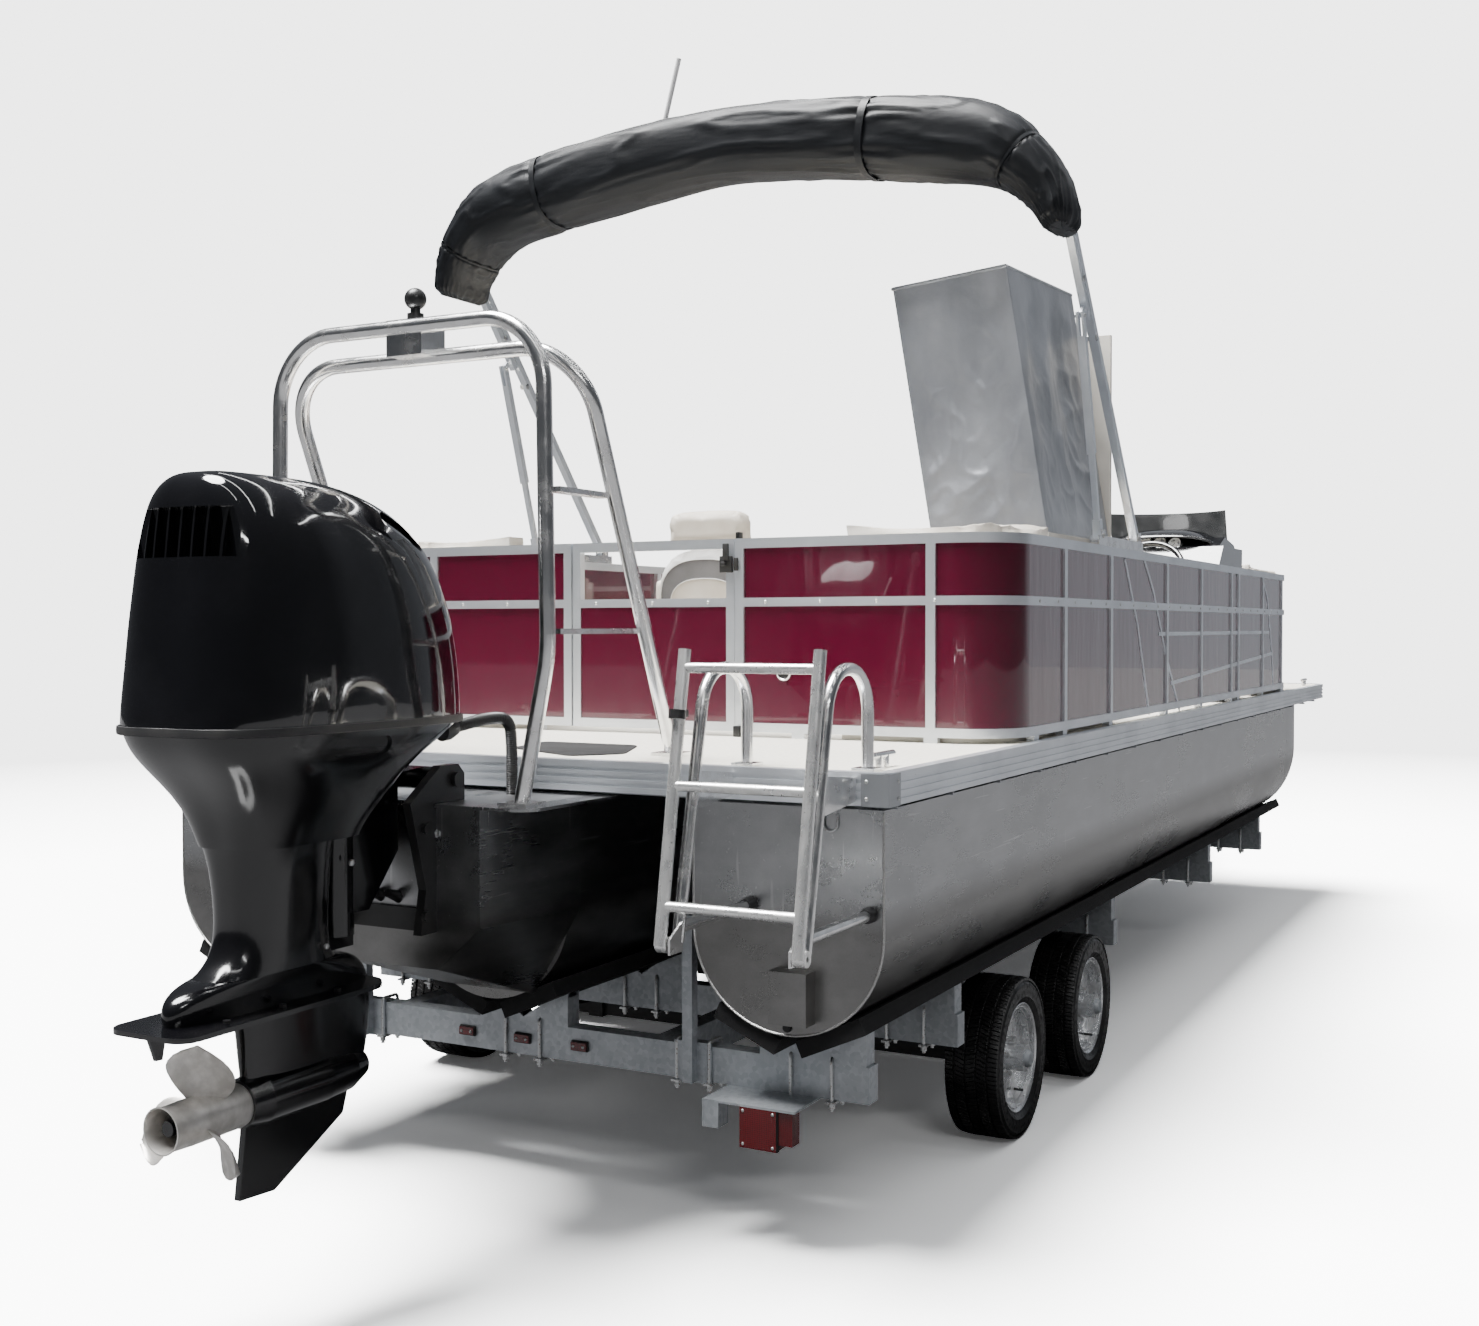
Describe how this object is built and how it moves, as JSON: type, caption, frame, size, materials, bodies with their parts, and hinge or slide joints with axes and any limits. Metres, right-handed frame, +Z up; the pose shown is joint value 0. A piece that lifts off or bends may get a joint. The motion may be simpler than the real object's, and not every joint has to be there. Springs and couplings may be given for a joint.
{
  "type": "pontoon boat on trailer",
  "caption": "Pontoon boat with outboard engine, tow arch, folded top and changing room, standing on a bunk trailer.",
  "frame": {"origin": "middle of the bounding box, on the ground", "axes": "+X to the bow along the length, +Y to port, +Z up"},
  "size_m": [9.943, 2.6154, 3.7924],
  "materials": {
    "log_aluminium": "brushed, scuffed",
    "frame_aluminium": "satin anodised",
    "tube_stainless": "polished tube",
    "joist_aluminium": "mill",
    "panel_crimson": "gloss",
    "deck_vinyl": "woven vinyl",
    "cushion_vinyl": "soft vinyl",
    "furniture_plastic": "moulded",
    "console_black": "gloss",
    "wheel_black": "soft",
    "screen_glass": "tinted",
    "boot_black": "coated cloth",
    "curtain_silver": "coated cloth",
    "lid_plastic": "moulded",
    "light_plastic": "gloss",
    "knob_black": "matt",
    "engine_black": "gloss",
    "engine_satin": "satin",
    "block_metal": "cast",
    "prop_steel": "blasted",
    "galvanised": "galvanised",
    "bunk_carpet": "carpeted",
    "axle_black": "satin",
    "lamp_red": "ribbed lens",
    "tyre_rubber": "treaded",
    "hose_black": "ribbed sleeve",
    "rim_silver": "silver"
  },
  "bodies": {
    "hull_and_trailer": {"hull_tube_starboard": "log_aluminium", "hull_tube_port": "log_aluminium", "hull_tube_center": "log_aluminium", "deck_joists": "joist_aluminium", "deck_floor": "deck_vinyl", "deck_edge": "frame_aluminium", "fence_frame_starboard": "frame_aluminium", "fence_frame_port": "frame_aluminium", "fence_panels_starboard": "panel_crimson", "fence_panels_port": "panel_crimson", "tow_arch": "tube_stainless", "tow_knob": "knob_black", "ladder_handrails": "tube_stainless", "deck_fittings": "frame_aluminium", "changing_room_base": "furniture_plastic", "changing_room_curtain": "curtain_silver", "lounge_bases": "furniture_plastic", "lounge_cushions": "cushion_vinyl", "console": "console_black", "windscreen": "screen_glass", "chair_pedestals": "frame_aluminium", "engine_clamp": "engine_satin", "rigging_hose": "hose_black", "trailer_frame": "galvanised", "trailer_bunks": "bunk_carpet", "trailer_axles": "axle_black", "trailer_lamps": "lamp_red", "trailer_jack": "galvanised"},
    "stern_gate": {"stern_gate_frame": "frame_aluminium", "stern_gate_panel": "panel_crimson"},
    "bow_gate": {"bow_gate_frame": "frame_aluminium", "bow_gate_panel": "panel_crimson"},
    "side_gate": {"side_gate_frame": "frame_aluminium", "side_gate_panel": "panel_crimson"},
    "ladder_fold": {"ladder_folding": "tube_stainless"},
    "top": {"top_frame": "frame_aluminium", "top_boot": "boot_black", "light_pole": "light_plastic"},
    "strut_starboard": {"top_strut_starboard": "frame_aluminium"},
    "strut_port": {"top_strut_port": "frame_aluminium"},
    "room_lid": {"changing_room_lid": "lid_plastic"},
    "helm_wheel": {"helm_wheel": "wheel_black"},
    "helm_chair": {"helm_chair": "cushion_vinyl"},
    "port_chair": {"port_chair": "cushion_vinyl"},
    "engine_tilting": {"engine_swivel": "engine_satin"},
    "engine_steering": {"engine_block": "block_metal", "engine_cowl": "engine_black", "engine_lower_cowl": "engine_black", "engine_leg": "engine_black", "engine_gearcase": "engine_black"},
    "propeller": {"propeller": "prop_steel"},
    "jack_leg": {"trailer_jack_leg": "galvanised"},
    "wheel_rear_starboard": {"rim_rear_starboard": "rim_silver", "tyre_rear_starboard": "tyre_rubber"},
    "wheel_rear_port": {"rim_rear_port": "rim_silver", "tyre_rear_port": "tyre_rubber"},
    "wheel_front_starboard": {"rim_front_starboard": "rim_silver", "tyre_front_starboard": "tyre_rubber"},
    "wheel_front_port": {"rim_front_port": "rim_silver", "tyre_front_port": "tyre_rubber"}
  },
  "joints": [
    {"name": "stern_gate_swing", "type": "hinge", "parent": "hull_and_trailer", "child": "stern_gate", "pos_m": [-2.6695, 0.37, 1.6], "axis": [0, 0, 1], "range_deg": [0, 100]},
    {"name": "bow_gate_swing", "type": "hinge", "parent": "hull_and_trailer", "child": "bow_gate", "pos_m": [2.3945, 0.338, 1.6], "axis": [0, 0, -1], "range_deg": [0, 100]},
    {"name": "side_gate_swing", "type": "hinge", "parent": "hull_and_trailer", "child": "side_gate", "pos_m": [0.7695, 1.213, 1.6], "axis": [0, 0, 1], "range_deg": [0, 100]},
    {"name": "ladder_unfold", "type": "hinge", "parent": "hull_and_trailer", "child": "ladder_fold", "pos_m": [-4.1185, -1.027, 0.915], "axis": [0, -1, 0], "range_deg": [0, 175]},
    {"name": "top_swing", "type": "hinge", "parent": "hull_and_trailer", "child": "top", "pos_m": [-1.1625, 0, 2.034], "axis": [0, 1, 0], "range_deg": [0, 60]},
    {"name": "strut_starboard_fold", "type": "hinge", "parent": "top", "child": "strut_starboard", "pos_m": [-1.9205, -1.237, 2.78], "axis": [0, -1, 0], "range_deg": [0, 26]},
    {"name": "strut_port_fold", "type": "hinge", "parent": "top", "child": "strut_port", "pos_m": [-1.9205, 1.237, 2.78], "axis": [0, -1, 0], "range_deg": [0, 26]},
    {"name": "room_lid_fold", "type": "hinge", "parent": "hull_and_trailer", "child": "room_lid", "pos_m": [-1.3985, -0.9, 2.02], "axis": [0, -1, 0], "range_deg": [0, 90], "deforming": ["changing_room_curtain"]},
    {"name": "helm_wheel_turn", "type": "hinge", "parent": "hull_and_trailer", "child": "helm_wheel", "pos_m": [0.4565, -0.8845, 1.96], "axis": [-0.8192, 0, 0.5736], "continuous": true},
    {"name": "helm_chair_swivel", "type": "hinge", "parent": "hull_and_trailer", "child": "helm_chair", "pos_m": [-0.0885, -0.64, 1.6], "axis": [0, 0, 1], "continuous": true},
    {"name": "port_chair_swivel", "type": "hinge", "parent": "hull_and_trailer", "child": "port_chair", "pos_m": [-0.9885, 0.62, 1.6], "axis": [0, 0, 1], "continuous": true},
    {"name": "engine_tilt", "type": "hinge", "parent": "hull_and_trailer", "child": "engine_tilting", "pos_m": [-4.0585, 0, 1.286], "axis": [0, 1, 0], "range_deg": [0, 70], "deforming": ["rigging_hose"]},
    {"name": "engine_steer", "type": "hinge", "parent": "engine_tilting", "child": "engine_steering", "pos_m": [-4.3485, 0, 1.1], "axis": [0, 0, 1], "range_deg": [-30, 30], "deforming": ["rigging_hose"]},
    {"name": "propeller_spin", "type": "hinge", "parent": "engine_steering", "child": "propeller", "pos_m": [-4.8085, 0, 0.555], "axis": [1, 0, 0], "continuous": true},
    {"name": "jack_slide", "type": "slide", "parent": "hull_and_trailer", "child": "jack_leg", "axis": [0, 0, 1], "range_m": [0, 0.16]},
    {"name": "wheel_rear_starboard_roll", "type": "hinge", "parent": "hull_and_trailer", "child": "wheel_rear_starboard", "pos_m": [-2.3645, -1.09, 0.266], "axis": [0, 1, 0], "continuous": true},
    {"name": "wheel_rear_port_roll", "type": "hinge", "parent": "hull_and_trailer", "child": "wheel_rear_port", "pos_m": [-2.3645, 1.09, 0.266], "axis": [0, 1, 0], "continuous": true},
    {"name": "wheel_front_starboard_roll", "type": "hinge", "parent": "hull_and_trailer", "child": "wheel_front_starboard", "pos_m": [-1.5285, -1.09, 0.266], "axis": [0, 1, 0], "continuous": true},
    {"name": "wheel_front_port_roll", "type": "hinge", "parent": "hull_and_trailer", "child": "wheel_front_port", "pos_m": [-1.5285, 1.09, 0.266], "axis": [0, 1, 0], "continuous": true}
  ],
  "couplings": [
    {"joint": "strut_starboard_fold", "follows": "top_swing", "ratio": 0.4333},
    {"joint": "strut_port_fold", "follows": "top_swing", "ratio": 0.4333}
  ]
}
